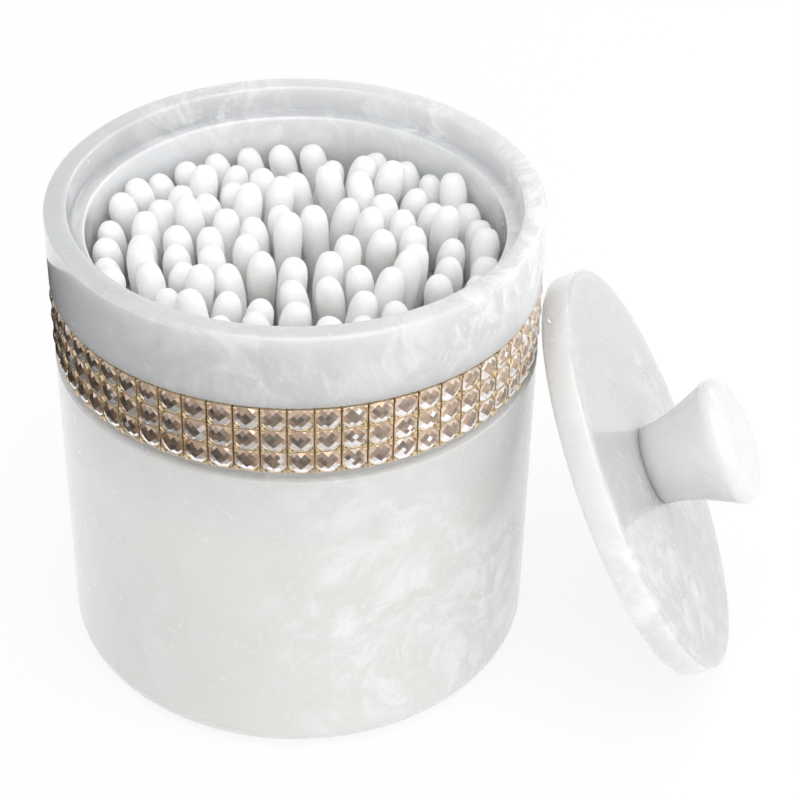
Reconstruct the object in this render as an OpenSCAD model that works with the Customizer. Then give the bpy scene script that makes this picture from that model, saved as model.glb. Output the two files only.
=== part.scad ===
// Lidded jar for cotton swabs, in cast pearl resin, with a crystal band set in a groove round the wall.
// The jar stands open with the swabs on end in it, and its lid leans on the wall beside it.
// Sizes in millimetres. The origin is the middle of the jar's base, +Z is up.

/* [Jar] */
// outside diameter of the jar
jar_d = 85; // [80:0.5:95]
// height of the jar from its base to its rim
jar_h = 89; // [87:0.5:100]
// thickness of the wall
wall_t = 6.6; // [6:0.1:7.5]
// thickness of the floor
floor_t = 6.7; // [5:0.1:8]
// rounding of the outer base edge
base_round = 4.5; // [2:0.1:6]
// rounding of the rim's outer edge
rim_round = 0.7; // [0.3:0.1:1.2]
// rounding where the floor meets the wall inside
floor_round = 2.5; // [1:0.1:3]

/* [Lid seat] */
// width of the step that the lid sits on
seat_w = 2.7; // [2:0.1:3.2]
// depth of the step below the rim
seat_depth = 4.8; // [3.5:0.1:5.5]
// gap between the lid's edge and the wall of the step
seat_clear = 0.4; // [0.2:0.05:0.8]

/* [Crystal band] */
// distance from the rim down to the band
band_drop = 13.8; // [12:0.1:18]
// rows of crystals
row_n = 3; // [2:1:4]
// height of one row
row_pitch = 4.2; // [3.8:0.05:4.6]
// width of one column at the band's face, before the columns are spread evenly
col_pitch = 4.36; // [4.2:0.02:5]
// depth of the groove in the wall
groove_depth = 1.8; // [1.6:0.05:2.2]
// room in the groove above the band
groove_over = 0.4; // [0.2:0.05:1]
// room in the groove below the band
groove_under = 1.9; // [0.5:0.1:2.5]
// how far the setting stands out of the wall
band_proud = 0.05; // [0:0.05:0.3]
// thickness of the setting behind the crystals
band_back = 0.6; // [0.4:0.05:0.8]
// metal left between two neighbouring crystals in a column
web_t = 0.3; // [0.2:0.05:0.5]
// gap round the band and round each crystal
set_clear = 0.04; // [0.02:0.01:0.1]
// how far the crystals stand out of the wall
stone_proud = 0.2; // [0.1:0.05:0.6]
// width of the flat on top of a crystal
stone_table = 2.1; // [1.4:0.1:2.6]

/* [Lid] */
// thickness of the lid
lid_t = 5.5; // [4.5:0.1:7]
// rounding of the lid's edges
lid_round = 0.8; // [0.4:0.1:1.5]
// slope of the lid's axis above the level as it leans
lean = 27.6; // [22:0.1:32]
// direction of the lean round the jar, from +X towards +Y
lean_dir = -6.8; // [-20:0.1:20]
// gap between the leaning lid and what it leans on
lean_clear = 0.1; // [0.05:0.05:0.3]

/* [Knob] */
// largest radius of the knob
knob_r = 11.9; // [10:0.1:14]
// radius of the knob's foot
knob_foot = 7.4; // [6:0.1:8.5]
// height of the knob's widest place above the lid
knob_wide = 14.4; // [12:0.1:17]
// rounding of the knob's edge
knob_edge = 2.6; // [1.5:0.1:3]

/* [Swabs] */
// length of a swab
swab_l = 75.5; // [72:0.5:77]
// diameter of the paper stick
stick_d = 2.4; // [2:0.1:2.8]
// largest diameter of the cotton tip
tip_d = 4.9; // [4.4:0.1:5.2]
// length of the cotton tip
tip_l = 14.5; // [12:0.5:17]
// smallest free room between two tips in a ring
tip_room = 1.1; // [1.1:0.1:2]
// distance between two rings of swabs, on top of the tip's diameter
ring_room = 1.1; // [1.1:0.1:2]
// free room between the outer ring and the wall
wall_room = 0.3; // [0.2:0.1:0.8]
// highest that a swab's foot is held above the floor by its neighbours
lift_max = 3; // [0:0.5:4]

/* [Hidden] */
$fn = 96;

jar_r = jar_d / 2;
bore_r = jar_r - wall_t;
seat_r = bore_r + seat_w;
seat_z = jar_h - seat_depth;
groove_r = jar_r - groove_depth;
band_h = row_n * row_pitch;
band_top = jar_h - band_drop;
band_z = band_top - band_h;
band_in = groove_r + set_clear;
band_out = jar_r + band_proud;
col_n = floor(2 * PI * band_out / col_pitch);
col_step = 360 / col_n;
gap_dir = -86.57;
first_col = gap_dir + col_step / 2;
pocket_r = band_in + band_back;
pocket_w = row_pitch - web_t;
stone_out = jar_r + stone_proud;
corner = 1 / cos(22.5);

lid_r = seat_r - seat_clear;
lean_z = lid_round * (1 - sin(lean)) + (lid_r - lid_round) * cos(lean);
lid_top = lean_z + (lid_r - lid_round) * cos(lean);
// the lid touches the crystals where its upper edge reaches them, or else the plain wall below
lean_on = lid_top > band_z ? stone_out : jar_r;
lean_rad = lean_on + lean_clear + lid_round * (1 - cos(lean)) + (lid_r - lid_round) * sin(lean);

tip_r = tip_d / 2;
stick_r = stick_d / 2;
wrap_clear = 0.02;
neck_r = stick_r + 0.35;
tip_cap = 1.6;
tip_full = 0.55 * tip_l;
ring_gap = tip_d + ring_room;
ring_out = bore_r - tip_r - wall_room;
ring_n = floor(ring_out / ring_gap) + 1;
top_shift = [-0.2, 0.2];
hold_room = 0.95;

// section of the knob from its foot to the crown of its domed end
knob_turn = 28;
knob_shoulder = 68;
flank_r = knob_r - knob_edge + knob_edge * cos(knob_turn);
flank_h = knob_wide - knob_edge * sin(knob_turn);
dome_r = knob_r - knob_edge + knob_edge * cos(knob_shoulder);
dome_z = knob_wide + knob_edge * sin(knob_shoulder);
dome_h = dome_r / tan(knob_shoulder) / 2;
function flank(h) = knob_foot + (flank_r - knob_foot) * pow(h / flank_h, 1.7);

// height that a leaning swab's end needs so that the round cotton just rests on the floor
function rest_up(t) = tip_r * (1 - cos(t));

// steady scatter between -1 and 1
function scatter(i, k) = sin(i * i * 47 + i * 101 + k * 73);

// each ring of swabs is turned at its top against its foot, one ring one way and the next the other
function ring_r(k) = ring_out - k * ring_gap;
function ring_count(k) = ring_r(k) < tip_d ? 1 : floor(2 * PI * ring_r(k) / (tip_d + tip_room));
function ring_turn(k) = (k % 2 == 0 ? 1 : -1) * min(80, 1200 / (ring_r(k) + 4)) * (1 - 0.07 * k);
function slack(k) = (2 * PI * ring_r(k) / ring_count(k) - tip_d) / 2;
function swab_kept(i) = scatter(i, 5) < 0.93;

// foot x, foot y, top x, top y, and the lift that a swab takes where it is held
places = [
  for (k = [0 : ring_n - 1])
    let (r = ring_r(k), n = ring_count(k), far = n > 1 ? 1 : 0)
      for (j = [0 : n - 1])
        let (
          i = k * 41 + j,
          a0 = 360 * j / n + k * 33,
          along = slack(k) * 0.3 * far,
          a1 = a0 + (scatter(i, 1) * along) / max(r, 1) * 180 / PI,
          a2 = a0 + ring_turn(k) + (scatter(i, 2) * along) / max(r, 1) * 180 / PI,
          r1 = r - (1 + scatter(i, 3)) * ring_room * 0.22 * far,
          r2 = r - (1 + scatter(i, 4)) * ring_room * 0.22 * far
        )
          if (swab_kept(i))
            [
              r1 * cos(a1),
              r1 * sin(a1),
              r2 * cos(a2) + top_shift[0],
              r2 * sin(a2) + top_shift[1],
              lift_max * max(0, scatter(i, 6))
            ]
];

// free room to the nearest neighbour, at the foot or at the top
function room(s) =
  min([
    for (q = places)
      if (q != s)
        min(norm([q[0] - s[0], q[1] - s[1]]), norm([q[2] - s[2], q[3] - s[3]]))
  ]) - tip_d;

function reach(s) = norm([s[2] - s[0], s[3] - s[1]]);
function tilt(s) = asin(reach(s) / swab_l);

// most that a swab can be lifted with its top still below the lid's seat
function lift_room(s) = max(0, seat_z - 0.5 - floor_t - swab_l * cos(tilt(s)));

// a swab stands on the floor unless a neighbour is close enough to hold it up
swabs = [for (s = places) [s[0], s[1], s[2], s[3], room(s) < hold_room ? min(s[4], lift_room(s)) : 0]];

function bearing(s) = atan2(s[3] - s[1], s[2] - s[0]);

module jar_section() {
  difference() {
    union() {
      square([jar_r - base_round, jar_h]);
      translate([0, base_round])
        square([jar_r, jar_h - base_round - rim_round]);
      translate([jar_r - base_round, base_round])
        circle(base_round);
      translate([0, base_round])
        square([jar_r - rim_round, jar_h - base_round]);
      translate([jar_r - rim_round, jar_h - rim_round])
        circle(rim_round);
    }
    translate([-1, floor_t])
      square([bore_r - floor_round + 1, jar_h]);
    translate([-1, floor_t + floor_round])
      square([bore_r + 1, jar_h]);
    translate([bore_r - floor_round, floor_t + floor_round])
      circle(floor_round);
    translate([-1, seat_z])
      square([seat_r + 1, jar_h]);
    translate([groove_r, band_z - groove_under])
      square([jar_r, band_h + groove_under + groove_over]);
  }
}

module jar() {
  color([0.88, 0.88, 0.87])
    rotate_extrude()
      jar_section();
}

// every place in the band, turned to look outwards
module each_setting() {
  for (c = [0 : col_n - 1])
    for (w = [0 : row_n - 1])
      rotate([0, 0, first_col + c * col_step])
        translate([pocket_r, 0, band_z + (w + 0.5) * row_pitch])
          rotate([0, 90, 0])
            rotate([0, 0, 22.5])
              children();
}

module band() {
  color([0.79, 0.66, 0.47])
    difference() {
      rotate_extrude()
        translate([band_in, band_z])
          square([band_out - band_in, band_h]);
      each_setting()
        cylinder(r = pocket_w / 2 * corner, h = 4, $fn = 8);
    }
}

module stones() {
  color([0.55, 0.47, 0.4])
    each_setting()
      translate([0, 0, set_clear])
        cylinder(
          r1 = (pocket_w / 2 - set_clear) * corner,
          r2 = stone_table / 2 * corner,
          h = stone_out - pocket_r - set_clear,
          $fn = 8
        );
}

// the lid's own frame, with its upper face looking along +Z
module leaning() {
  rotate([0, 0, lean_dir])
    translate([lean_rad, 0, lean_z])
      rotate([0, 90 - lean, 0])
        children();
}

module lid() {
  color([0.86, 0.87, 0.87])
    leaning()
      rotate_extrude() {
        square([lid_r - lid_round, lid_t]);
        translate([0, lid_round])
          square([lid_r, lid_t - 2 * lid_round]);
        translate([lid_r - lid_round, lid_round])
          circle(lid_round);
        translate([lid_r - lid_round, lid_t - lid_round])
          circle(lid_round);
      }
}

module knob() {
  color([0.9, 0.9, 0.9])
    leaning()
      translate([0, 0, lid_t])
        rotate_extrude()
          polygon([
            [0, 0],
            for (t = [0 : 0.1 : 1]) [flank(t * flank_h), t * flank_h],
            for (t = [12 - knob_turn : 12 : knob_shoulder])
              [knob_r - knob_edge + knob_edge * cos(t), knob_wide + knob_edge * sin(t)],
            for (t = [0.8 : -0.2 : 0.2]) [t * dome_r, dome_z + dome_h * (1 - t * t)],
            [0, dome_z + dome_h]
          ]);
}

// a swab's own frame, from the foot's end along +Z
module each_swab() {
  for (s = swabs)
    translate([s[0], s[1], floor_t + rest_up(tilt(s)) + s[4]])
      rotate([0, tilt(s), bearing(s)])
        children();
}

module cotton_tip() {
  rotate_extrude()
    difference() {
      union() {
        translate([0, tip_r])
          circle(tip_r);
        translate([0, tip_r])
          square([tip_r, tip_full - tip_r]);
        polygon([[0, tip_full], [tip_r, tip_full], [neck_r, tip_l], [0, tip_l]]);
      }
      translate([-tip_d, -1])
        square([tip_d, tip_l]);
      translate([-1, tip_cap])
        square([stick_r + wrap_clear + 1, tip_l]);
    }
}

module swab_sticks() {
  color([0.96, 0.95, 0.93])
    each_swab()
      translate([0, 0, tip_cap])
        cylinder(d = stick_d, h = swab_l - 2 * tip_cap);
}

module swab_tips() {
  color([1, 1, 1])
    each_swab() {
      cotton_tip();
      translate([0, 0, swab_l])
        mirror([0, 0, 1])
          cotton_tip();
    }
}

jar();
band();
stones();
lid();
knob();
swab_sticks();
swab_tips();
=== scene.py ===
"""Looks of a lidded resin jar for cotton swabs, on the frame that the CAD model gives."""

import math
import random

import bmesh
import bpy
import numpy as np
from mathutils import Matrix, Vector, noise


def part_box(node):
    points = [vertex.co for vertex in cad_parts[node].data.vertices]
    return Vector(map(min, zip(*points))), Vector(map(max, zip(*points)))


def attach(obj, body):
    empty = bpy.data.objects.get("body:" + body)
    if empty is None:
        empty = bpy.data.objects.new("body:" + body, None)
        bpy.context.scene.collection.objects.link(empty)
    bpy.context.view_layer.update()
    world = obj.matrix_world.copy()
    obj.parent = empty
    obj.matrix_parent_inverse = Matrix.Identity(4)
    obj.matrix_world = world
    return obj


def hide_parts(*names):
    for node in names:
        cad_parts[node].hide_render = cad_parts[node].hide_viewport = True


bl_info = {
    "name": "Cotton swab jar",
    "version": (1, 0, 0),
    "blender": (4, 5, 0),
    "location": "3D View > Sidebar > Swab jar",
    "description": "Builds a pearl resin jar with a crystal band, its lid, and the swabs in it",
    "category": "Object",
}

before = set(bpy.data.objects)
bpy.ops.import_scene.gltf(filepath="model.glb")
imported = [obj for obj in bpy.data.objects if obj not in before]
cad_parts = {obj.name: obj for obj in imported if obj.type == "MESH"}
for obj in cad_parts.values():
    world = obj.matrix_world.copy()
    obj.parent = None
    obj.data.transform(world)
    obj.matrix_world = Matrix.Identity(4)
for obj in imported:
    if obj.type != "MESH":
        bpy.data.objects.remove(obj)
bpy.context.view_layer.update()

MM = 0.001
BODY = "root"
JAR_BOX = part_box("jar")
BAND_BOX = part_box("band")
STONE_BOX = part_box("stones")
SEED = 7
# Painted light and shade along this direction, between these two places in metres: towards the left the pearl
# wisps fade out and the cool resin takes painted shade, towards the right the wisps are a stronger painted
# sheen
PAINTED_LIGHT_AXIS = (1, 0.3, 0)
PAINTED_SHADE_END, PAINTED_LIGHT_END = -0.04, 0.03
# How far the clouds and wisps are bent, in metres
SWAY = (0.022, 0.022, 0.03)
# The jar's resin turns cool between these heights
COLLAR_LOW, COLLAR_HIGH = 45 * MM, 85 * MM
# Resin within this radius is the bore, painted lighter as painted light coming through the wall, with a soft
# border
BORE_EDGE, BORE_BLEND = 36.1 * MM, 0.3 * MM
# Painted shade: the lid's resin gets greyer from the upper of these heights down to the lower
FOOT_LOW, FOOT_HIGH = 5 * MM, 48 * MM
UPWARDS = (0, 0, 1)
# Flat sides of the turned pieces
JAR_SIDES, LID_SIDES, KNOB_SIDES, STICK_SIDES = 224, 192, 128, 14


# Settings

class JarSizes(bpy.types.PropertyGroup):
    """Sizes of the jar and of the lid's seat in its rim"""

    radius: bpy.props.FloatProperty(
        name="Radius", description="Outside radius of the jar",
        default=JAR_BOX[1].x, unit="LENGTH", precision=5,
    )
    height: bpy.props.FloatProperty(
        name="Height", description="Height of the jar",
        default=JAR_BOX[1].z, unit="LENGTH", precision=5,
    )
    wall: bpy.props.FloatProperty(
        name="Wall", description="Thickness of the wall",
        default=6.6 * MM, unit="LENGTH", precision=5,
    )
    floor: bpy.props.FloatProperty(
        name="Floor", description="Thickness of the floor",
        default=6.7 * MM, unit="LENGTH", precision=5,
    )
    base_round: bpy.props.FloatProperty(
        name="Base rounding", description="Rounding of the base edge",
        default=4.5 * MM, unit="LENGTH", precision=5,
    )
    rim_round: bpy.props.FloatProperty(
        name="Rim rounding", description="Rounding of the rim's outer edge",
        default=0.7 * MM, unit="LENGTH", precision=5,
    )
    seat_width: bpy.props.FloatProperty(
        name="Seat width", description="Width of the step for the lid",
        default=2.7 * MM, unit="LENGTH", precision=5,
    )
    seat_depth: bpy.props.FloatProperty(
        name="Seat depth", description="Depth of the step for the lid",
        default=4.8 * MM, unit="LENGTH", precision=5,
    )
    groove_depth: bpy.props.FloatProperty(
        name="Groove depth", description="Depth of the band's groove",
        default=1.8 * MM, unit="LENGTH", precision=5,
    )
    groove_over: bpy.props.FloatProperty(
        name="Groove over", description="Room in the groove above the band",
        default=0.4 * MM, unit="LENGTH", precision=5,
    )
    groove_under: bpy.props.FloatProperty(
        name="Groove under", description="Room in the groove below the band",
        default=1.9 * MM, unit="LENGTH", precision=5,
    )
    colour: bpy.props.FloatVectorProperty(
        name="Resin", description="Colour of the resin",
        default=(0.745, 0.735, 0.718), subtype="COLOR", min=0, max=1,
    )
    cool: bpy.props.FloatVectorProperty(
        name="Cool resin", description="Colour of the resin near the rim",
        default=(0.61, 0.622, 0.636), subtype="COLOR", min=0, max=1,
    )
    pearl: bpy.props.FloatVectorProperty(
        name="Pearl", description="Colour of the pearl wisps",
        default=(0.96, 0.97, 0.98), subtype="COLOR", min=0, max=1,
    )


class BandSizes(bpy.types.PropertyGroup):
    """Sizes and colours of the crystal band"""

    columns: bpy.props.IntProperty(
        name="Columns", description="Columns of crystals round the jar", default=61
    )
    rows: bpy.props.IntProperty(name="Rows", description="Rows of crystals", default=3)
    gap_dir: bpy.props.FloatProperty(
        name="Gap direction",
        description="Direction of one gap between columns",
        default=math.radians(-86.57),
        subtype="ANGLE",
    )
    column_gap: bpy.props.FloatProperty(
        name="Column gap", description="Dark gap between two columns",
        default=0.3 * MM, unit="LENGTH", precision=5,
    )
    cup_wall: bpy.props.FloatProperty(
        name="Cup wall", description="Thickness of a cup's wall",
        default=0.1 * MM, unit="LENGTH", precision=5,
    )
    crown: bpy.props.FloatProperty(
        name="Crown", description="Height of a crystal's crown",
        default=0.75 * MM, unit="LENGTH", precision=5,
    )
    gold: bpy.props.FloatVectorProperty(
        name="Gold", description="Colour of the setting",
        default=(0.80, 0.64, 0.43), subtype="COLOR", min=0, max=1,
    )
    crystal: bpy.props.FloatVectorProperty(
        name="Crystal", description="Colour of the crystals",
        default=(0.30, 0.205, 0.14), subtype="COLOR", min=0, max=1,
    )


class LidSizes(bpy.types.PropertyGroup):
    """Sizes of the lid and its knob, and how the lid leans"""

    clear: bpy.props.FloatProperty(
        name="Clearance", description="Gap between lid and seat",
        default=0.4 * MM, unit="LENGTH", precision=5,
    )
    thick: bpy.props.FloatProperty(
        name="Thickness", description="Thickness of the lid",
        default=5.5 * MM, unit="LENGTH", precision=5,
    )
    edge: bpy.props.FloatProperty(
        name="Edge rounding", description="Rounding of the lid's edges",
        default=0.8 * MM, unit="LENGTH", precision=5,
    )
    lean: bpy.props.FloatProperty(
        name="Lean", description="Slope of the lid's axis",
        default=math.radians(27.6), subtype="ANGLE",
    )
    lean_dir: bpy.props.FloatProperty(
        name="Lean direction", description="Side of the jar it leans on",
        default=math.radians(-6.8), subtype="ANGLE",
    )
    lean_clear: bpy.props.FloatProperty(
        name="Lean gap", description="Gap between lid and crystals",
        default=0.1 * MM, unit="LENGTH", precision=5,
    )
    knob_radius: bpy.props.FloatProperty(
        name="Knob radius", description="Largest radius of the knob",
        default=11.9 * MM, unit="LENGTH", precision=5,
    )
    knob_foot: bpy.props.FloatProperty(
        name="Knob foot", description="Radius of the knob's foot",
        default=7.4 * MM, unit="LENGTH", precision=5,
    )
    knob_wide: bpy.props.FloatProperty(
        name="Knob height", description="Height of its widest place",
        default=14.4 * MM, unit="LENGTH", precision=5,
    )
    knob_edge: bpy.props.FloatProperty(
        name="Knob edge", description="Rounding of the knob's edge",
        default=2.6 * MM, unit="LENGTH", precision=5,
    )
    side: bpy.props.FloatVectorProperty(
        name="Side", description="Resin of the lid's side",
        default=(0.70, 0.706, 0.706), subtype="COLOR", min=0, max=1,
    )
    face: bpy.props.FloatVectorProperty(
        name="Face", description="Resin of the lid's upper face",
        default=(0.51, 0.515, 0.52), subtype="COLOR", min=0, max=1,
    )
    knob: bpy.props.FloatVectorProperty(
        name="Knob", description="Resin of the knob",
        default=(0.75, 0.755, 0.755), subtype="COLOR", min=0, max=1,
    )


class SwabSizes(bpy.types.PropertyGroup):
    """Sizes and colours of the swabs"""

    tip_radius: bpy.props.FloatProperty(
        name="Tip radius", description="Largest radius of the cotton",
        default=2.55 * MM, unit="LENGTH", precision=5,
    )
    tip_length: bpy.props.FloatProperty(
        name="Tip length", description="Length of the cotton",
        default=14.5 * MM, unit="LENGTH", precision=5,
    )
    tip_cap: bpy.props.FloatProperty(
        name="Tip cap", description="Cotton past the stick's end",
        default=1.6 * MM, unit="LENGTH", precision=5,
    )
    cotton: bpy.props.FloatVectorProperty(
        name="Cotton", description="Colour of the cotton",
        default=(0.99, 0.98, 0.968), subtype="COLOR", min=0, max=1,
    )
    paper: bpy.props.FloatVectorProperty(
        name="Paper", description="Colour of the sticks",
        default=(0.96, 0.95, 0.93), subtype="COLOR", min=0, max=1,
    )


class StageSizes(bpy.types.PropertyGroup):
    """Camera and light"""

    lens: bpy.props.FloatProperty(
        name="Lens", description="Focal length in mm on a 36 mm sensor", default=95.145
    )
    distance: bpy.props.FloatProperty(
        name="Distance", description="From the aim to the camera",
        default=0.38705, unit="LENGTH", precision=5,
    )
    rise: bpy.props.FloatProperty(
        name="Rise", description="Camera's height seen from the aim",
        default=0.6491, subtype="ANGLE", precision=4,
    )
    aim: bpy.props.FloatProperty(
        name="Aim", description="Height of the aim", default=0.040263, unit="LENGTH", precision=5
    )
    pitch: bpy.props.FloatProperty(
        name="Pitch", description="Downward slope", default=0.6367, subtype="ANGLE", precision=4
    )
    yaw: bpy.props.FloatProperty(
        name="Yaw", description="Turn to the right", default=0.0598, subtype="ANGLE", precision=4
    )
    roll: bpy.props.FloatProperty(
        name="Roll", description="Turn about the view",
        default=-0.0268, subtype="ANGLE", precision=4,
    )
    sky: bpy.props.FloatProperty(name="Sky", description="Strength of the even light", default=0.78)
    overhead: bpy.props.FloatProperty(
        name="Overhead", description="Power of the lamp above", default=3.1, unit="POWER"
    )
    top: bpy.props.FloatProperty(
        name="Top", description="Power of the lamp straight above", default=0.8, unit="POWER"
    )
    front: bpy.props.FloatProperty(
        name="Front", description="Power of the lamp in front", default=2.2, unit="POWER"
    )
    strip: bpy.props.FloatProperty(
        name="Strip", description="Power of the narrow lamp behind", default=0.7, unit="POWER"
    )
    right: bpy.props.FloatProperty(
        name="Right", description="Power of the lamp on the right", default=0.3, unit="POWER"
    )
    card_drop: bpy.props.FloatProperty(
        name="Card drop", description="How far the mirrored shade card lies below the band",
        default=0.2 * MM, unit="LENGTH", precision=5,
    )
    white: bpy.props.FloatProperty(
        name="White", description="Share of plain white in the floor as it is seen",
        default=0.86, subtype="FACTOR", min=0, max=1,
    )
    floor: bpy.props.FloatVectorProperty(
        name="Floor", description="Colour of the floor",
        default=(0.95, 0.95, 0.95), subtype="COLOR", min=0, max=1,
    )


class SwabJar(bpy.types.PropertyGroup):
    """All settings of the swab jar"""

    jar: bpy.props.PointerProperty(type=JarSizes)
    band: bpy.props.PointerProperty(type=BandSizes)
    lid: bpy.props.PointerProperty(type=LidSizes)
    swab: bpy.props.PointerProperty(type=SwabSizes)
    stage: bpy.props.PointerProperty(type=StageSizes)


# Mesh helpers

def rounded_path(corners, steps=8, support=0.12 * MM):
    """Points of a path whose corners (r, z, rounding) are arcs, with a point close beside each arc."""
    path = []
    last = len(corners) - 1
    for i, (r, z, rad) in enumerate(corners):
        here = Vector((r, z))
        if i in (0, last) or rad <= 0:
            path.append(here)
            continue
        before = (Vector(corners[i - 1][:2]) - here).normalized()
        after = (Vector(corners[i + 1][:2]) - here).normalized()
        half = before.angle(after) / 2
        cut = rad / math.tan(half)
        centre = here + (before + after).normalized() * (rad / math.sin(half))
        a, b = here + before * cut - centre, here + after * cut - centre
        turn = math.atan2(a.x * b.y - a.y * b.x, a.dot(b))
        path.append(centre + a + before * support)
        for k in range(steps + 1):
            path.append(centre + Matrix.Rotation(turn * k / steps, 2) @ a)
        path.append(centre + b + after * support)
    return path


def lathe(name, path, segments, matrix=None):
    """A closed turned solid from a path that starts and ends on the axis."""
    on_axis = 1e-7
    bm = bmesh.new()
    rings = []
    for p in path:
        if p[0] < on_axis:
            rings.append([bm.verts.new((0, 0, p[1]))])
        else:
            angles = [math.tau * k / segments for k in range(segments)]
            rings.append([bm.verts.new((p[0] * math.cos(t), p[0] * math.sin(t), p[1])) for t in angles])
    for low, high in zip(rings, rings[1:]):
        for k in range(segments):
            n = (k + 1) % segments
            if len(low) == 1 and len(high) == 1:
                continue
            if len(low) == 1:
                bm.faces.new((low[0], high[n], high[k]))
            elif len(high) == 1:
                bm.faces.new((low[k], low[n], high[0]))
            else:
                bm.faces.new((low[k], low[n], high[n], high[k]))
    bmesh.ops.recalc_face_normals(bm, faces=bm.faces)
    for f in bm.faces:
        f.smooth = True
    if matrix is not None:
        bmesh.ops.transform(bm, matrix=matrix, verts=bm.verts)
    return made_object(name, bm)


def made_object(name, bm):
    """An object from a finished bmesh."""
    mesh = bpy.data.meshes.new(name)
    bm.to_mesh(mesh)
    bm.free()
    ob = bpy.data.objects.new(name, mesh)
    bpy.context.scene.collection.objects.link(ob)
    return ob


def mesh_object(name, verts, faces, smooth):
    """An object from lists of points and faces."""
    mesh = bpy.data.meshes.new(name)
    mesh.from_pydata(verts, [], faces)
    mesh.update()
    mesh.polygons.foreach_set("use_smooth", [smooth] * len(mesh.polygons))
    ob = bpy.data.objects.new(name, mesh)
    bpy.context.scene.collection.objects.link(ob)
    return ob


def place(ob, slot, *nodes):
    """Puts a finished piece on the body in place of its CAD nodes."""
    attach(ob, BODY)
    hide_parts(*nodes)
    if not ob.data.materials:
        raise RuntimeError(ob.name + " has no material")


def islands(ob):
    """The separate solids of a CAD node, each as an array of its points."""
    mesh = ob.data
    count = len(mesh.vertices)
    co = np.empty(count * 3)
    mesh.vertices.foreach_get("co", co)
    co = co.reshape(-1, 3)
    per_metre = 1e6
    key = np.round(co * per_metre).astype(np.int64)
    _, same = np.unique(key, axis=0, return_inverse=True)
    same = same.ravel()
    parent = np.arange(same.max() + 1)

    def root(i):
        while parent[i] != i:
            parent[i] = parent[parent[i]]
            i = parent[i]
        return i

    for e in mesh.edges:
        a, b = root(same[e.vertices[0]]), root(same[e.vertices[1]])
        if a != b:
            parent[a] = b
    groups = {}
    for i in range(count):
        groups.setdefault(root(same[i]), []).append(i)
    return [co[g] for g in groups.values()]


def swab_axes(cap):
    """Foot and top of every swab, found from the straight sticks of the CAD model."""
    axes = []
    for pts in islands(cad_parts["swab_sticks"]):
        high = pts[:, 2] > pts[:, 2].mean()
        top = Vector(pts[high].mean(0))
        foot = Vector(pts[~high].mean(0))
        along = (top - foot).normalized()
        axes.append((foot - along * cap, top + along * cap))
    fewest = 10
    if len(axes) < fewest:
        raise RuntimeError("the swab sticks were not found in the frame")
    return sorted(axes, key=lambda a: (round(a[0].x, 5), round(a[0].y, 5)))


# Materials

class Nodes:
    """Short way to lay out a material's nodes."""

    def __init__(self, name):
        self.mat = bpy.data.materials.new(name)
        self.mat.use_nodes = True
        self.tree = self.mat.node_tree
        self.shader = self.tree.nodes["Principled BSDF"]

    def add(self, kind, **values):
        node = self.tree.nodes.new(kind)
        for key, value in values.items():
            socket = key.replace("_", " ")
            if socket in node.inputs:
                node.inputs[socket].default_value = value
            else:
                setattr(node, key, value)
        return node

    def link(self, a, b):
        self.tree.links.new(a, b)

    def set(self, **values):
        for key, value in values.items():
            self.shader.inputs[key.replace("_", " ")].default_value = value

    def coords(self, scale=(1, 1, 1)):
        place_node = self.add("ShaderNodeMapping")
        place_node.inputs["Scale"].default_value = scale
        self.link(self.add("ShaderNodeTexCoord").outputs["Object"], place_node.inputs["Vector"])
        return place_node.outputs["Vector"]

    def noise(self, vector, scale, detail=4.0, rough=0.55, distort=0.0):
        n = self.add("ShaderNodeTexNoise")
        n.inputs["Scale"].default_value = scale
        n.inputs["Detail"].default_value = detail
        n.inputs["Roughness"].default_value = rough
        n.inputs["Distortion"].default_value = distort
        self.link(vector, n.inputs["Vector"])
        return n.outputs["Fac"]

    def ramp(self, fac, stops):
        r = self.add("ShaderNodeValToRGB")
        while len(r.color_ramp.elements) < len(stops):
            r.color_ramp.elements.new(0.5)
        for e, (pos, col) in zip(r.color_ramp.elements, stops):
            e.position = pos
            e.color = (*col, 1) if len(col) == 3 else col
        self.link(fac, r.inputs["Fac"])
        return r.outputs["Color"]

    def mix(self, fac, a, b, blend="MIX"):
        m = self.add("ShaderNodeMix", data_type="RGBA", blend_type=blend)
        for value, socket in ((fac, m.inputs[0]), (a, m.inputs[6]), (b, m.inputs[7])):
            if isinstance(value, bpy.types.NodeSocket):
                self.link(value, socket)
            elif isinstance(value, (int, float)):
                socket.default_value = value
            else:
                socket.default_value = (*value, 1)
        return m.outputs[2]

    def bump(self, height, strength, distance):
        b = self.add("ShaderNodeBump")
        b.inputs["Strength"].default_value = strength
        b.inputs["Distance"].default_value = distance
        self.link(height, b.inputs["Height"])
        self.link(b.outputs["Normal"], self.shader.inputs["Normal"])

    def dot(self, vector, axis):
        d = self.add("ShaderNodeVectorMath", operation="DOT_PRODUCT")
        self.link(vector, d.inputs[0])
        d.inputs[1].default_value = axis
        return d.outputs["Value"]

    def from_axis(self, vector):
        """Distance from the jar's axis."""
        flat = self.add("ShaderNodeVectorMath", operation="MULTIPLY")
        self.link(vector, flat.inputs[0])
        flat.inputs[1].default_value = (1, 1, 0)
        length = self.add("ShaderNodeVectorMath", operation="LENGTH")
        self.link(flat.outputs["Vector"], length.inputs[0])
        return length.outputs["Value"]

    def fade(self, value, low, high, start=0.0, end=1.0):
        """Goes evenly from start to end while the value goes from low to high."""
        m = self.add("ShaderNodeMapRange")
        self.link(value, m.inputs["Value"])
        for key, number in (("From Min", low), ("From Max", high), ("To Min", start), ("To Max", end)):
            m.inputs[key].default_value = number
        return m.outputs["Result"]


def grey(v):
    """A grey as a colour."""
    return (v, v, v)


def scaled(colour, share):
    """A darker or lighter colour, no lighter than white."""
    return tuple(min(1, c * share) for c in colour)


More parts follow.
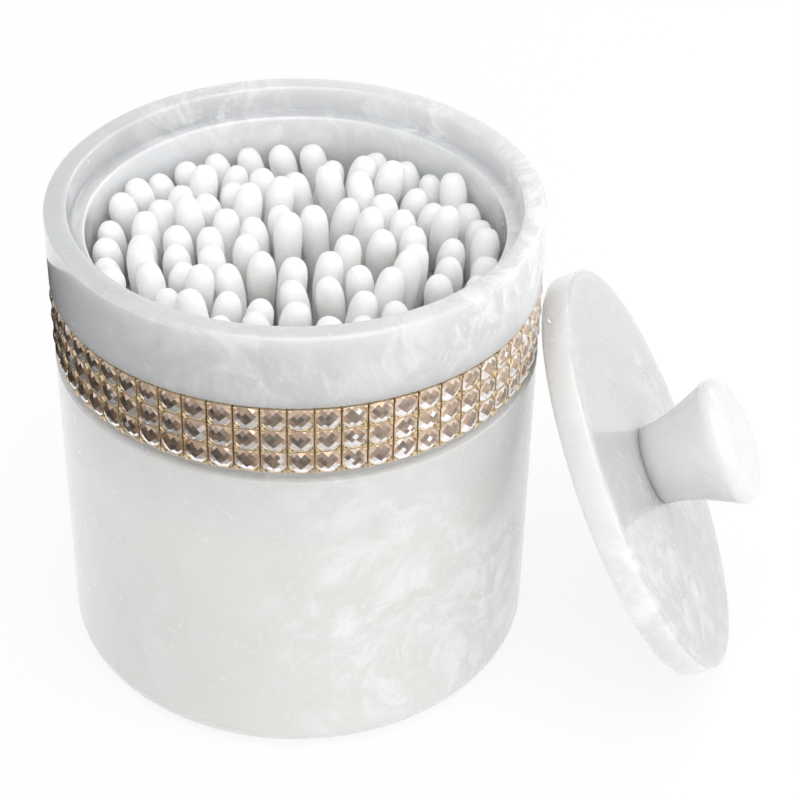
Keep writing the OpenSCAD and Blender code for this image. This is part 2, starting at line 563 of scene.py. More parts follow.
def pearl_material(name, colour, pearl, cool, axis, low, high, lit_side, wisps, painted_foot_shade=1.0):
    """Polished translucent resin: soft clouds, feathery pearl wisps and fine flecks.

    It turns cool between two heights along the axis, and greyer towards the table as painted shade where the
    foot factor is below 1. Towards the left the cool resin takes painted shade and the wisps fade; towards
    the right the wisps are a stronger painted sheen; the bore is painted lighter as painted light through the
    wall.
    """
    n = Nodes(name)
    spot = n.coords()
    drift = n.add("ShaderNodeTexNoise", Scale=34.0, Detail=3.0)
    n.link(spot, drift.inputs["Vector"])
    warp = n.add("ShaderNodeVectorMath", operation="MULTIPLY_ADD")
    n.link(drift.outputs["Color"], warp.inputs[0])
    warp.inputs[1].default_value = SWAY
    n.link(spot, warp.inputs[2])
    flow = warp.outputs["Vector"]
    clouds = n.noise(flow, scale=30.0, detail=4.0, rough=0.55)
    feathers = n.noise(flow, scale=170.0, detail=9.0, rough=0.7, distort=0.5)
    patches = n.noise(spot, scale=26.0, detail=3.0, rough=0.6)
    specks = n.noise(spot, scale=900.0, detail=2.0)
    wisp = n.ramp(feathers, [(0.46, grey(0)), (0.56, grey(0.55 * wisps)), (0.67, grey(wisps))])
    patch = n.ramp(patches, [(0.42, grey(0.04)), (0.64, grey(1))])
    # Painted light and shade by side: weaker wisps on the left, a stronger painted sheen of wisps on the
    # right
    side = n.fade(n.dot(spot, PAINTED_LIGHT_AXIS), PAINTED_SHADE_END, PAINTED_LIGHT_END, 1 - lit_side, 1.0)
    mask = n.mix(1.0, n.mix(1.0, wisp, patch, "MULTIPLY"), side, "MULTIPLY")
    # Painted shade darkens the cool resin on the left and painted light brightens it a little on the right;
    # the last factor is painted light in the bore
    painted_shade_left, painted_light_right, painted_bore_light = 0.78, 1.02, 1.2
    cool_painted_shade = n.mix(side, scaled(cool, painted_shade_left), scaled(cool, painted_light_right))
    outside = n.mix(n.fade(n.dot(spot, axis), low, high), colour, cool_painted_shade)
    # Painted light: the bore is painted lighter, as if light came through the wall
    inside = n.fade(n.from_axis(spot), BORE_EDGE + BORE_BLEND, BORE_EDGE)
    ground = n.mix(inside, outside, scaled(cool, painted_bore_light))
    tint = n.ramp(clouds, [(0.3, grey(0.93)), (0.7, grey(1.0))])
    soft = n.mix(1.0, ground, tint, "MULTIPLY")
    flecked = n.mix(n.ramp(specks, [(0.64, grey(0)), (0.82, grey(0.2))]), soft, pearl)
    resin = n.mix(mask, flecked, pearl)
    # Painted shade: darker towards the floor
    if painted_foot_shade < 1:
        foot = n.fade(n.dot(spot, UPWARDS), FOOT_LOW, FOOT_HIGH, painted_foot_shade, 1.0)
        resin = n.mix(1.0, resin, foot, "MULTIPLY")
    n.link(resin, n.shader.inputs["Base Color"])
    n.link(n.ramp(feathers, [(0.3, grey(0.3)), (0.75, grey(0.16))]), n.shader.inputs["Roughness"])
    n.set(
        IOR=1.5,
        Subsurface_Weight=1.0,
        Subsurface_Radius=(1.0, 0.98, 0.96),
        Subsurface_Scale=0.012,
        Coat_Weight=0.8,
        Coat_Roughness=0.03,
    )
    return n.mat


def gold_material(name, colour, lip):
    """Gilt metal, darkened by painted shade down in the gaps between the cups."""
    n = Nodes(name)
    spot = n.coords()
    marks = n.noise(spot, scale=900.0, detail=3.0)
    bright = n.ramp(marks, [(0.3, scaled(colour, 0.8)), (0.7, scaled(colour, 1.1))])
    # Painted shade: the gold is darkened with depth between the cups, where shade falls
    gap_floor, gap_top = lip - 0.95 * MM, lip - 0.5 * MM
    dark = (0.16, 0.11, 0.075)
    gap_painted_shade = n.mix(n.fade(n.from_axis(spot), gap_floor, gap_top), dark, bright)
    n.link(gap_painted_shade, n.shader.inputs["Base Color"])
    n.link(n.ramp(marks, [(0.3, grey(0.2)), (0.7, grey(0.36))]), n.shader.inputs["Roughness"])
    n.set(Metallic=0.7)
    return n.mat


def crystal_material(name, colour):
    """Foil-backed crystal: every facet has its own tone of painted reflection, from deep to pale, up to
    painted highlights.
    """
    n = Nodes(name)
    tone = n.add("ShaderNodeAttribute", attribute_name="facet_painted_reflection").outputs["Fac"]
    clouds = n.noise(n.coords(), scale=700.0, detail=2.0)
    cloud_share = 0.16
    blend = n.mix(cloud_share, tone, clouds)
    # Each facet's painted reflection picks a colour, from deep through tan to a painted highlight in white
    deep = scaled(colour, 0.25)
    tan = (colour[0] * 1.9, colour[1] * 1.75, colour[2] * 1.5)
    pale = tuple(min(1, c * 1.3 + 0.42) for c in colour)
    white = (0.97, 0.96, 0.95)
    stops = [(0.1, deep), (0.32, tuple(colour)), (0.54, tan), (0.7, pale), (0.86, white)]
    n.link(n.ramp(blend, stops), n.shader.inputs["Base Color"])
    n.link(n.ramp(clouds, [(0.2, grey(0.05)), (0.8, grey(0.12))]), n.shader.inputs["Roughness"])
    n.set(Metallic=0.75, IOR=1.6, Coat_Weight=1.0, Coat_Roughness=0.02, Coat_IOR=2.0)
    return n.mat


def cotton_material(name, colour):
    """Wound cotton: bright, soft, with fine fibres and a light fuzz."""
    n = Nodes(name)
    fibres = n.noise(n.coords((1, 1, 0.6)), scale=1000.0, detail=6.0, rough=0.7, distort=1.0)
    lumps = n.noise(n.coords(), scale=500.0, detail=3.0)
    lump_share = 0.35
    both = n.mix(lump_share, fibres, lumps)
    n.link(n.ramp(both, [(0.25, scaled(colour, 0.88)), (0.5, colour)]), n.shader.inputs["Base Color"])
    n.set(
        Roughness=1.0,
        Specular_IOR_Level=0.1,
        Sheen_Weight=0.3,
        Sheen_Roughness=0.6,
        Subsurface_Weight=1.0,
        Subsurface_Radius=(1.0, 0.9, 0.84),
        Subsurface_Scale=0.003,
    )
    n.bump(both, strength=0.5, distance=0.4 * MM)
    return n.mat


def paper_material(name, colour):
    """Rolled paper with a fine grain along the stick."""
    n = Nodes(name)
    grain = n.noise(n.coords((1, 1, 0.05)), scale=1500.0, detail=3.0)
    n.link(n.ramp(grain, [(0.3, scaled(colour, 0.9)), (0.7, colour)]), n.shader.inputs["Base Color"])
    n.set(Roughness=0.75)
    return n.mat


# Pieces

class SWABJAR_OT_jar(bpy.types.Operator):
    """Build the jar: rounded base, groove for the band, stepped rim and bore"""

    bl_idname = "swabjar.jar"
    bl_label = "Jar"

    def execute(self, context):
        s = context.scene.swab_jar.jar
        bore = s.radius - s.wall
        seat = bore + s.seat_width
        seat_z = s.height - s.seat_depth
        groove = s.radius - s.groove_depth
        low, high = BAND_BOX[0].z - s.groove_under, BAND_BOX[1].z + s.groove_over
        lip_round, groove_round, floor_round = 0.35 * MM, 0.3 * MM, 2.5 * MM
        step_round, step_corner = 0.5 * MM, 0.4 * MM
        corners = [
            (0, 0, 0),
            (s.radius, 0, s.base_round),
            (s.radius, low, lip_round),
            (groove, low, groove_round),
            (groove, high, groove_round),
            (s.radius, high, groove_round),
            (s.radius, s.height, s.rim_round),
            (seat, s.height, step_round),
            (seat, seat_z, step_corner),
            (bore, seat_z, step_round),
            (bore, s.floor, floor_round),
            (0, s.floor, 0),
        ]
        ob = lathe("jar_resin", rounded_path(corners), JAR_SIDES)
        # The jar's resin carries painted shade on the left, a painted sheen of wisps on the right and painted
        # light in the bore
        resin = pearl_material(
            "Pearl resin", s.colour, s.pearl, s.cool,
            axis=UPWARDS, low=COLLAR_LOW, high=COLLAR_HIGH, lit_side=0.85, wisps=1.0,
        )
        ob.data.materials.append(resin)
        place(ob, "pearl_resin", "jar")
        return {"FINISHED"}


def band_places(band):
    """Frame of every cup, x along the band, y up and z outwards, and its middle on the jar's axis."""
    low, high = BAND_BOX[0].z, BAND_BOX[1].z
    row = (high - low) / band.rows
    step = math.tau / band.columns
    for c in range(band.columns):
        turn = band.gap_dir + (c + 0.5) * step
        out = Vector((math.cos(turn), math.sin(turn), 0))
        along = Vector((-math.sin(turn), math.cos(turn), 0))
        for r in range(band.rows):
            mid = Vector((0, 0, low + (r + 0.5) * row))
            yield Matrix((along, Vector(UPWARDS), out)).transposed(), mid


class SWABJAR_OT_band(bpy.types.Operator):
    """Build the gold setting: a backing ring with a square cup and four corner prongs for each crystal"""

    bl_idname = "swabjar.band"
    bl_label = "Band setting"

    def execute(self, context):
        s = context.scene.swab_jar
        b = s.band
        low, high = BAND_BOX[0].z, BAND_BOX[1].z
        ring_clear, ring_wall, prong_room, row_gap = 0.04 * MM, 0.62 * MM, 0.4 * MM, 0.08 * MM
        prong_place, prong_leg, prong_over = 0.985, 0.36, 0.26 * MM
        prong_bevel, prong_shrink, cup_sunk = 0.12 * MM, 0.3, 0.1 * MM
        inner = s.jar.radius - s.jar.groove_depth + ring_clear
        back = inner + ring_wall
        lip = BAND_BOX[1].x - prong_room
        row = (high - low) / b.rows
        wide = math.tau * lip / b.columns - b.column_gap
        tall = row - row_gap
        verts, faces = [], []

        def wall(outer, inside, z0, z1, rot, mid):
            base = len(verts)
            for z in (z0, z1):
                for hx, hy in (outer, inside):
                    for sx, sy in ((-1, -1), (1, -1), (1, 1), (-1, 1)):
                        verts.append(rot @ Vector((sx * hx, sy * hy, z)) + mid)
            for k in range(4):
                n = (k + 1) % 4
                faces.append((base + k, base + n, base + 8 + n, base + 8 + k))
                faces.append((base + 4 + n, base + 4 + k, base + 12 + k, base + 12 + n))
                faces.append((base + 8 + k, base + 8 + n, base + 12 + n, base + 12 + k))
                faces.append((base + 4 + k, base + 4 + n, base + n, base + k))

        def prong(cx, cy, z0, z1, rot, mid):
            base = len(verts)
            tri = ((cx, cy), (cx * (1 - prong_leg), cy), (cx, cy * (1 - prong_leg)))
            for z, shrink in ((z0, 0.0), (z1 - prong_bevel, 0.0), (z1, prong_shrink)):
                gx, gy = sum(p[0] for p in tri) / 3, sum(p[1] for p in tri) / 3
                for x, y in tri:
                    verts.append(rot @ Vector((x + (gx - x) * shrink, y + (gy - y) * shrink, z)) + mid)
            flip = cx * cy < 0
            for ring in (0, 3):
                for k in range(3):
                    n = (k + 1) % 3
                    quad = (base + ring + k, base + ring + n, base + ring + 3 + n, base + ring + 3 + k)
                    faces.append(quad[::-1] if flip else quad)
            cap = (base + 6, base + 7, base + 8)
            faces.append(cap[::-1] if flip else cap)

        hx, hy = wide / 2, tall / 2
        for rot, mid in band_places(b):
            wall((hx, hy), (hx - b.cup_wall, hy - b.cup_wall), back - cup_sunk, lip, rot, mid)
            for sx in (-1, 1):
                for sy in (-1, 1):
                    prong(sx * hx * prong_place, sy * hy * prong_place, back, lip + prong_over, rot, mid)
        ob = mesh_object("band_setting", verts, faces, False)
        ring = lathe_ring("band_backing", inner, back, low, high, 3 * b.columns)
        join_into(ob, ring)
        ob.data.materials.append(gold_material("Gold setting", b.gold, lip))
        place(ob, "gold_setting", "band")
        return {"FINISHED"}


def lathe_ring(name, r0, r1, z0, z1, segments):
    """A plain ring of rectangular section."""
    verts, faces = [], []
    section = ((r0, z0), (r1, z0), (r1, z1), (r0, z1))
    for k in range(segments):
        t = math.tau * k / segments
        verts += [Vector((r * math.cos(t), r * math.sin(t), z)) for r, z in section]
    for k in range(segments):
        a, b = k * 4, ((k + 1) % segments) * 4
        for i in range(4):
            j = (i + 1) % 4
            faces.append((a + i, b + i, b + j, a + j))
    return mesh_object(name, verts, faces, False)


def join_into(ob, other):
    """Adds another piece's mesh to a piece and removes the other."""
    bm = bmesh.new()
    bm.from_mesh(ob.data)
    bm.from_mesh(other.data)
    bm.to_mesh(ob.data)
    bm.free()
    bpy.data.objects.remove(other)


def clip_to(points, outline):
    """The part of a flat polygon that lies inside a convex outline."""
    for a, b in zip(outline, outline[1:] + outline[:1]):
        kept = []
        for p, q in zip(points, points[1:] + points[:1]):
            sp = (b - a).cross(p - a)
            sq = (b - a).cross(q - a)
            if sp >= 0:
                kept.append(p)
            if sp * sq < 0:
                kept.append(p + (q - p) * (sp / (sp - sq)))
        points = kept
        if len(points) < 3:
            return []
    return points


def on_edge(p, q, outline):
    """Whether the line from p to q lies on the outline."""
    mid = (p + q) / 2
    close = 1e-8
    for a, b in zip(outline, outline[1:] + outline[:1]):
        if abs((b - a).normalized().cross(mid - a)) < close:
            return True
    return False


def cushion_cut(half_x, half_y, rise, drop, step):
    """Facets of a cushion crystal with a checkerboard crown, as (points, facet middle or None)."""
    sides, squareness, crown_share, cover = 20, 4.5, 1.24, 1.2
    outline = []
    for k in range(sides):
        t = math.tau * (k + 0.5) / sides
        c, s = math.cos(t), math.sin(t)
        size = (abs(c) ** squareness + abs(s) ** squareness) ** (-1 / squareness)
        outline.append(Vector((half_x * size * c, half_y * size * s)))
    span = (crown_share * half_x) ** 2
    reach = int(half_x * cover / step) + 2
    facets = []
    for m in range(-reach, reach + 1):
        for n in range(-reach, reach + 1):
            if (m + n) % 2 == 0:
                continue
            u, v = m * step, n * step
            turns = ((step, 0), (0, step), (-step, 0), (0, -step))
            flat = clip_to([Vector((u + du, v + dv)) for du, dv in turns], outline)
            if not flat:
                continue
            level = rise * (1 - (u * u + v * v + step * step) / span)
            top = [(p.x, p.y, level - 2 * rise * (u * (p.x - u) + v * (p.y - v)) / span) for p in flat]
            facets.append((top, (u / half_x, v / half_y)))
            for k, p in enumerate(flat):
                n2 = (k + 1) % len(flat)
                if on_edge(p, flat[n2], outline):
                    wall = [top[n2], top[k], (p.x, p.y, -drop), (flat[n2].x, flat[n2].y, -drop)]
                    facets.append((wall, None))
    facets.append(([(p.x, p.y, -drop) for p in reversed(outline)], None))
    return facets


class SWABJAR_OT_stones(bpy.types.Operator):
    """Build the crystals: cushions with a checkerboard of small square facets"""

    bl_idname = "swabjar.stones"
    bl_label = "Crystals"

    def execute(self, context):
        s = context.scene.swab_jar
        b = s.band
        rng = random.Random(SEED)
        lip = BAND_BOX[1].x
        row = (BAND_BOX[1].z - BAND_BOX[0].z) / b.rows
        wide = math.tau * lip / b.columns - b.column_gap
        sunk, row_room, girdle, facets_across, most_lean = 0.05 * MM, 0.02 * MM, 0.3 * MM, 3.4, 0.05
        # Painted light: crystals that face the right are painted paler, by this share, from this turn over
        # this span
        painted_light_share, painted_light_start, painted_light_span = 0.22, 0.25, 0.6
        top_z = STONE_BOX[1].x - sunk
        rise = b.crown
        half_x = wide / 2 - b.cup_wall
        half_y = row / 2 - b.cup_wall - row_room
        cut = cushion_cut(half_x, half_y, rise, girdle, half_x / facets_across)
        verts, faces, tones = [], [], []
        for rot, mid in band_places(b):
            # Painted light, paler towards the right
            lighter = painted_light_share * min(1.0, max(0.0, (rot.col[2].x - painted_light_start) / painted_light_span))
            lean = Matrix.Rotation(rng.uniform(-most_lean, most_lean), 3, "X")
            lean = lean @ Matrix.Rotation(rng.uniform(-most_lean, most_lean), 3, "Y")
            for points, middle in cut:
                base = len(verts)
                for p in points:
                    verts.append(rot @ (lean @ Vector(p) + Vector((0, 0, top_z - rise))) + mid)
                faces.append(tuple(range(base, len(verts))))
                tones.append(min(1.0, self.tone(middle, rng) + lighter))
        ob = mesh_object("crystals", verts, faces, False)
        layer = ob.data.attributes.new("facet_painted_reflection", "FLOAT", "FACE")
        layer.data.foreach_set("value", tones)
        ob.data.materials.append(crystal_material("Crystal", b.crystal))
        place(ob, "crystal", "stones")
        return {"FINISHED"}

    @staticmethod
    def tone(middle, rng):
        """How bright a facet is painted, as painted reflection: a pale painted highlight along the lower
        edge, deep in the middle, tan at the corners, and now and then a painted glint.
        """
        if middle is None:
            return 0.5
        u, v = middle
        if v < -0.5:
            return rng.uniform(0.88, 1.0)
        if v < -0.2 and abs(u) > 0.25:
            return rng.choice((0.35, 0.8, 0.95))
        if abs(u) > 0.75 or v > 0.75:
            return rng.uniform(0.45, 0.7)
        if rng.random() < 0.03:
            return 1.0
        return rng.uniform(0.04, 0.34)


def lid_matrix(s):
    """The leaning lid's frame: its edge rests on the floor and on the crystals."""
    d = s.lid
    radius = s.jar.radius - s.jar.wall + s.jar.seat_width - d.clear
    out = STONE_BOX[1].x + d.lean_clear + d.edge * (1 - math.cos(d.lean))
    out += (radius - d.edge) * math.sin(d.lean)
    up = d.edge * (1 - math.sin(d.lean)) + (radius - d.edge) * math.cos(d.lean)
    m = Matrix.Rotation(d.lean_dir, 4, "Z") @ Matrix.Translation((out, 0, up))
    return m @ Matrix.Rotation(math.pi / 2 - d.lean, 4, "Y"), radius


class SWABJAR_OT_lid(bpy.types.Operator):
    """Build the lid: a thick disc with rounded edges, leaning on the jar"""

    bl_idname = "swabjar.lid"
    bl_label = "Lid"

    def execute(self, context):
        s = context.scene.swab_jar
        m, radius = lid_matrix(s)
        d = s.lid
        corners = [(0, 0, 0), (radius, 0, d.edge), (radius, d.thick, d.edge), (0, d.thick, 0)]
        ob = lathe("lid_disc", rounded_path(corners), LID_SIDES, m)
        axis = m.col[2].xyz
        face = axis.dot(m.translation) + d.thick
        # The lid's resin takes painted shade towards the floor, down to a foot factor of 0.86
        resin = pearl_material(
            "Pearl resin lid", d.side, s.jar.pearl, d.face,
            axis=axis, low=face - d.edge, high=face - d.edge / 4, lit_side=0.2, wisps=0.55, painted_foot_shade=0.86,
        )
        ob.data.materials.append(resin)
        place(ob, "pearl_resin", "lid")
        return {"FINISHED"}


class SWABJAR_OT_knob(bpy.types.Operator):
    """Build the knob: a flared foot and a domed end, glued to the lid's middle"""

    bl_idname = "swabjar.knob"
    bl_label = "Knob"

    def execute(self, context):
        s = context.scene.swab_jar
        m, _ = lid_matrix(s)
        d = s.lid
        turn, shoulder, flare = math.radians(28), math.radians(68), 1.7
        seam_gap, seam_in = 0.02 * MM, 0.15 * MM
        flank_steps, edge_steps, dome_steps = 32, 16, 16
        core = d.knob_radius - d.knob_edge
        flank_r = core + d.knob_edge * math.cos(turn)
        flank_h = d.knob_wide - d.knob_edge * math.sin(turn)
        dome_r = core + d.knob_edge * math.cos(shoulder)
        dome_z = d.knob_wide + d.knob_edge * math.sin(shoulder)
        dome_h = dome_r / math.tan(shoulder) / 2
        path = [Vector((0, seam_gap)), Vector((d.knob_foot - seam_in, seam_gap))]
        for k in range(1, flank_steps + 1):
            t = k / flank_steps
            path.append(Vector((d.knob_foot + (flank_r - d.knob_foot) * t**flare, t * flank_h)))
        for k in range(1, edge_steps + 1):
            t = -turn + (shoulder + turn) * k / edge_steps
            path.append(Vector((core + d.knob_edge * math.cos(t), d.knob_wide + d.knob_edge * math.sin(t))))
        for k in range(dome_steps - 1, -1, -1):
            t = k / dome_steps
            path.append(Vector((t * dome_r, dome_z + dome_h * (1 - t * t))))
        ob = lathe("lid_knob", path, KNOB_SIDES, m @ Matrix.Translation((0, 0, d.thick)))
        resin = pearl_material(
            "Pearl resin knob", d.knob, s.jar.pearl, d.knob,
            axis=UPWARDS, low=0, high=1, lit_side=0.3, wisps=0.5,
        )
        ob.data.materials.append(resin)
        place(ob, "pearl_resin", "knob")
        return {"FINISHED"}


class SWABJAR_OT_sticks(bpy.types.Operator):
    """Build the paper sticks along the axes of the CAD model's sticks"""

    bl_idname = "swabjar.sticks"
    bl_label = "Swab sticks"

    def execute(self, context):
        s = context.scene.swab_jar.swab
        verts, faces = [], []
        sides, radius = STICK_SIDES, 1.18 * MM
        for foot, top in swab_axes(s.tip_cap):
            frame_m = (top - foot).to_track_quat("Z", "X").to_matrix()
            length = (top - foot).length
            base = len(verts)
            for z in (s.tip_cap, length - s.tip_cap):
                for k in range(sides):
                    t = math.tau * k / sides
                    verts.append(foot + frame_m @ Vector((radius * math.cos(t), radius * math.sin(t), z)))
            for k in range(sides):
                n = (k + 1) % sides
                faces.append((base + k, base + n, base + sides + n, base + sides + k))
            faces.append(tuple(base + k for k in range(sides))[::-1])
            faces.append(tuple(base + sides + k for k in range(sides)))
        ob = mesh_object("paper_sticks", verts, faces, True)
        ob.data.materials.append(paper_material("Paper stick", s.paper))
        place(ob, "paper_stick", "swab_sticks")
        return {"FINISHED"}


class SWABJAR_OT_tips(bpy.types.Operator):
    """Build the cotton tips: soft uneven bulbs wound on both ends of every stick"""

    bl_idname = "swabjar.tips"
    bl_label = "Cotton tips"

    def execute(self, context):
        s = context.scene.swab_jar.swab
        rng = random.Random(SEED)
        verts, faces = [], []
        neck, taper = 1.5 * MM, 0.85
        # Lumps and small dents, each as a share of the radius and a noise scale, and the most they may add
        lump, lump_scale, dent, dent_scale, most = 0.055, 0.9, 0.025, 3.3, 1.04
        noise_length = 3.0

        def radius(t, widest, blunt):
            if t < widest:
                return s.tip_radius * (1 - ((widest - t) / widest) ** blunt) ** (1 / blunt)
            fall = math.cos(math.pi / 2 * (t - widest) / (1 - widest))
            return neck + (s.tip_radius - neck) * max(0.0, fall) ** taper

        def bulb(end, along, sides, rings):
            frame_m = along.to_track_quat("Z", "X").to_matrix()
            widest = rng.uniform(0.3, 0.4)
            blunt = rng.uniform(2.25, 2.8)
            swell = rng.uniform(0.95, 1.01)
            start = Vector((rng.uniform(0, 90), rng.uniform(0, 90), rng.uniform(0, 90)))
            base = len(verts)
            verts.append(end.copy())
            for i in range(1, rings + 1):
                u = i / rings
                t = u * u * 0.35 + u * 0.65
                for k in range(sides):
                    a = math.tau * k / sides
                    spot = Vector((math.cos(a), math.sin(a), t * noise_length))
                    uneven = 1 + lump * noise.noise(spot * lump_scale + start)
                    uneven += dent * noise.noise(spot * dent_scale + start)
                    r = radius(t, widest, blunt) * swell * min(uneven, most)
                    point = Vector((r * math.cos(a), r * math.sin(a), t * s.tip_length))
                    verts.append(end + frame_m @ point)
            for k in range(sides):
                n = (k + 1) % sides
                faces.append((base, base + 1 + n, base + 1 + k))
            for i in range(rings - 1):
                a, b = base + 1 + i * sides, base + 1 + (i + 1) * sides
                for k in range(sides):
                    n = (k + 1) % sides
                    faces.append((a + k, a + n, b + n, b + k))
            faces.append(tuple(base + 1 + (rings - 1) * sides + k for k in range(sides)))

        for foot, top in swab_axes(s.tip_cap):
            along = (top - foot).normalized()
            bulb(top, -along, sides=32, rings=24)
            bulb(foot, along, sides=12, rings=8)
        ob = mesh_object("cotton_tips", verts, faces, True)
        ob.data.materials.append(cotton_material("Cotton", s.cotton))
        place(ob, "cotton", "swab_tips")
        return {"FINISHED"}


# Stage

def area_light(name, power, size, place_at, aim):
    """A flat rectangular lamp at a place, turned to its aim."""
    data = bpy.data.lights.new(name, "AREA")
    data.shape = "RECTANGLE"
    data.size, data.size_y = size
    data.energy = power
    ob = bpy.data.objects.new(name, data)
    ob.location = place_at
    ob.rotation_euler = (Vector(aim) - Vector(place_at)).to_track_quat("-Z", "Y").to_euler()
    bpy.context.scene.collection.objects.link(ob)
    return ob


def whiten(floor, share):
    """Lets the floor show part of a plain white background, and keeps part of the shadow on it."""
    tree = floor.tree
    rays = floor.add("ShaderNodeLightPath")
    seen = rays.outputs["Is Camera Ray"]
    for kind in ("Is Glossy Ray", "Is Transmission Ray"):
        either = floor.add("ShaderNodeMath", operation="MAXIMUM")
        floor.link(seen, either.inputs[0])
        floor.link(rays.outputs[kind], either.inputs[1])
        seen = either.outputs[0]
    part = floor.add("ShaderNodeMath", operation="MULTIPLY")
    part.inputs[1].default_value = share
    floor.link(seen, part.inputs[0])
    glow = floor.add("ShaderNodeEmission")
    both = floor.add("ShaderNodeMixShader")
    floor.link(part.outputs[0], both.inputs[0])
    floor.link(floor.shader.outputs[0], both.inputs[1])
    floor.link(glow.outputs[0], both.inputs[2])
    floor.link(both.outputs[0], tree.nodes["Material Output"].inputs["Surface"])


def studio_world(name, strength):
    """Even white light, weaker from the left and from straight above."""
    world = bpy.data.worlds.new(name)
    world.use_nodes = True
    tree = world.node_tree
    back = tree.nodes["Background"]
    back.inputs["Color"].default_value = (1, 1, 1, 1)
    parts = tree.nodes.new("ShaderNodeSeparateXYZ")
    tree.links.new(tree.nodes.new("ShaderNodeTexCoord").outputs["Generated"], parts.inputs[0])
    levels = []
    # For each direction: from, to, and the strength at either end
    fades = (("X", -0.8, 0.8, 0.7, 1.05), ("Z", 0.0, 0.9, 1.2 * strength, 0.8 * strength))
    for axis, low, high, start, end in fades:
        part = tree.nodes.new("ShaderNodeMapRange")
        for key, number in (("From Min", low), ("From Max", high), ("To Min", start), ("To Max", end)):
            part.inputs[key].default_value = number
        tree.links.new(parts.outputs[axis], part.inputs["Value"])
        levels.append(part.outputs["Result"])
    both = tree.nodes.new("ShaderNodeMath")
    both.operation = "MULTIPLY"
    tree.links.new(levels[0], both.inputs[0])
    tree.links.new(levels[1], both.inputs[1])
    tree.links.new(both.outputs[0], back.inputs["Strength"])
    return world


def shade_card(height):
    """A flat card round the left and the front, dark to the left, that only mirror-like surfaces see."""
    verts, faces, shades = [], [], []
    steps = 40
    start, sweep = math.radians(170), math.radians(130)
    inner, outer = 42.9 * MM, STONE_BOX[1].x
    least_reach, more_reach, grown = 20 * MM, 18 * MM, 0.3
    view = Vector((0, 1, 0))
    for k in range(steps + 1):
        share = k / steps
        turn = start + sweep * share
        out = Vector((math.cos(turn), math.sin(turn), 0))
        mirrored = view - 2 * min(0.0, view.dot(out)) * out
        reach = least_reach + more_reach * min(1.0, share / grown)
        for spot in (out * inner, out * outer + mirrored * reach):
            verts.append((spot.x, spot.y, height))
            shades.append(share)
    for k in range(steps):
        faces.append((2 * k, 2 * k + 1, 2 * k + 3, 2 * k + 2))
    card = mesh_object("shade_card", verts, faces, False)
    card.data.attributes.new("shade", "FLOAT", "POINT").data.foreach_set("value", shades)
    felt = Nodes("Felt")
    shade = felt.add("ShaderNodeAttribute", attribute_name="shade").outputs["Fac"]
    tones = ((0.0, 0.05), (0.25, 0.06), (0.55, 0.2), (0.78, 0.6), (1.0, 0.95))
    felt.link(felt.ramp(shade, [(at, grey(tone)) for at, tone in tones]), felt.shader.inputs["Base Color"])
    felt.set(Roughness=0.95, Specular_IOR_Level=0.0)
    card.data.materials.append(felt.mat)
    return card


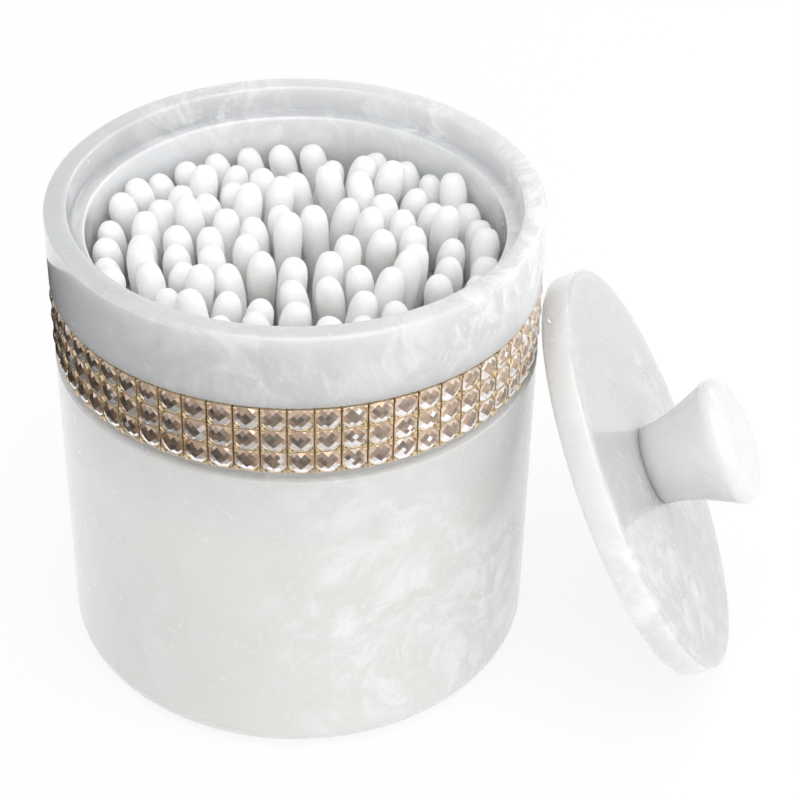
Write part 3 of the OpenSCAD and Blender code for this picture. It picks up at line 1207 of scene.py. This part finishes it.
class SWABJAR_OT_stage(bpy.types.Operator):
    """Set the floor, the soft light and the camera"""

    bl_idname = "swabjar.stage"
    bl_label = "Stage"

    def execute(self, context):
        scene = context.scene
        s = scene.swab_jar.stage
        half = 3
        corners = [(-half, -half, 0), (half, -half, 0), (half, half, 0), (-half, half, 0)]
        ground = mesh_object("floor", corners, [(0, 1, 2, 3)], False)
        mat = Nodes("Floor")
        spots = mat.noise(mat.coords(), scale=3.0, detail=2.0)
        tones = mat.ramp(spots, [(0.0, scaled(s.floor, 0.995)), (1.0, tuple(s.floor))])
        mat.link(tones, mat.shader.inputs["Base Color"])
        mat.set(Roughness=0.9, Specular_IOR_Level=0.0)
        whiten(mat, s.white)
        ground.data.materials.append(mat.mat)
        # Each lamp's power, size, place and aim
        lights = [
            area_light("overhead light", s.overhead, (0.9, 0.7), (0.08, -0.35, 0.9), (0, 0, 0.04)),
            area_light("front light", s.front, (0.9, 0.5), (0.25, -0.93, 0.5), (0, 0, 0.04)),
            area_light("top light", s.top, (0.5, 0.5), (0, 0.05, 1.0), (0, 0, 0.04)),
            area_light("back strip", s.strip, (0.5, 0.06), (0.35, 0.5, 0.5), (0, 0, 0.08)),
            area_light("right light", s.right, (0.35, 0.6), (0.7, -0.25, 0.5), (0.02, 0, 0.05)),
        ]
        card = shade_card(BAND_BOX[0].z - s.card_drop)
        card.visible_diffuse = False
        card.visible_shadow = False
        card.visible_camera = False
        scene.world = studio_world("Studio light", s.sky)
        data = bpy.data.cameras.new("camera")
        data.sensor_width = 36
        data.sensor_fit = "HORIZONTAL"
        data.lens = s.lens
        data.clip_start, data.clip_end = 0.02, 20
        cam = bpy.data.objects.new("camera", data)
        spot = Vector((0, -s.distance * math.cos(s.rise), s.aim + s.distance * math.sin(s.rise)))
        turn = Matrix.Rotation(-s.yaw, 4, "Z") @ Matrix.Rotation(math.pi / 2 - s.pitch, 4, "X")
        cam.matrix_world = Matrix.Translation(spot) @ turn @ Matrix.Rotation(-s.roll, 4, "Z")
        scene.collection.objects.link(cam)
        scene.camera = cam
        scene.view_settings.view_transform = "Standard"
        return {"FINISHED"}


class SWABJAR_PT_panel(bpy.types.Panel):
    """Lists the pieces of the swab jar"""

    bl_idname = "SWABJAR_PT_panel"
    bl_label = "Swab jar"
    bl_space_type = "VIEW_3D"
    bl_region_type = "UI"
    bl_category = "Swab jar"

    def draw(self, context):
        s = context.scene.swab_jar
        for group in (s.jar, s.band, s.lid, s.swab, s.stage):
            box = self.layout.box()
            for key in group.bl_rna.properties.keys():
                if key not in ("rna_type", "name"):
                    box.prop(group, key)
        for op in OPERATORS:
            self.layout.operator(op.bl_idname)


OPERATORS = (
    SWABJAR_OT_jar,
    SWABJAR_OT_band,
    SWABJAR_OT_stones,
    SWABJAR_OT_lid,
    SWABJAR_OT_knob,
    SWABJAR_OT_sticks,
    SWABJAR_OT_tips,
    SWABJAR_OT_stage,
)
CLASSES = (JarSizes, BandSizes, LidSizes, SwabSizes, StageSizes, SwabJar, *OPERATORS, SWABJAR_PT_panel)


def register():
    for cls in CLASSES:
        bpy.utils.register_class(cls)
    bpy.types.Scene.swab_jar = bpy.props.PointerProperty(type=SwabJar)


def unregister():
    del bpy.types.Scene.swab_jar
    for cls in reversed(CLASSES):
        bpy.utils.unregister_class(cls)


def main():
    register()
    bpy.ops.swabjar.jar()
    bpy.ops.swabjar.band()
    bpy.ops.swabjar.stones()
    bpy.ops.swabjar.lid()
    bpy.ops.swabjar.knob()
    bpy.ops.swabjar.sticks()
    bpy.ops.swabjar.tips()
    bpy.ops.swabjar.stage()


if __name__ == "__main__":
    main()
